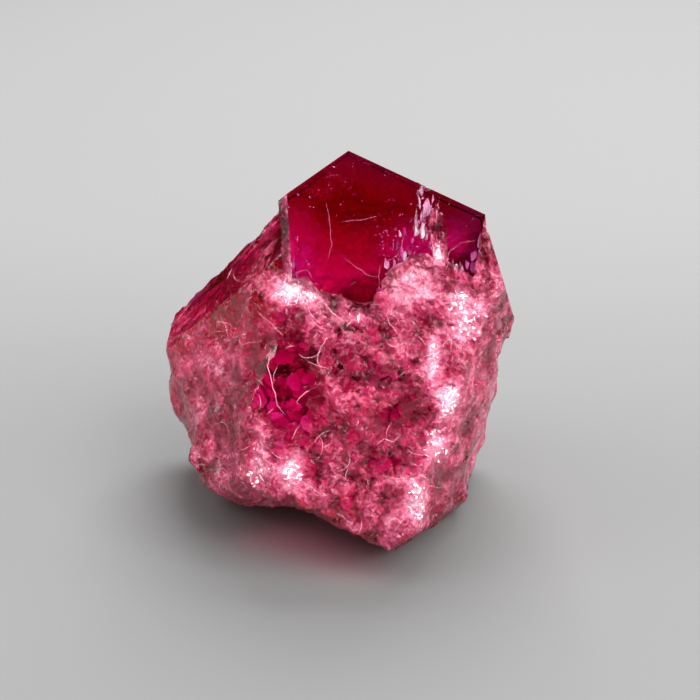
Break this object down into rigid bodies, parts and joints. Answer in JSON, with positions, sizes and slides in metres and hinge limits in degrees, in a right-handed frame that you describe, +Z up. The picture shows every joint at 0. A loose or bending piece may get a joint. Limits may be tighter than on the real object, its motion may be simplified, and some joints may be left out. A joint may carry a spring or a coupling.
{
  "type": "red beryl crystal",
  "caption": "Natural red crystal in one piece: a clear six-sided prism end on a larger, rough broken body, resting on a small flat foot.",
  "frame": {"origin": "middle of the small flat foot that the crystal rests on", "axes": "+Z up, -Y towards the flat hexagonal end face, which looks up at 22 degrees, +X to the right of that face"},
  "size_m": [0.0077, 0.0074, 0.0086],
  "materials": {
    "red_beryl": "clear dark red to magenta on the flat crystal faces, frosted pink with fine white cracks where broken"
  },
  "bodies": {
    "root": {"red_beryl_crystal": "red_beryl"}
  },
  "joints": []
}
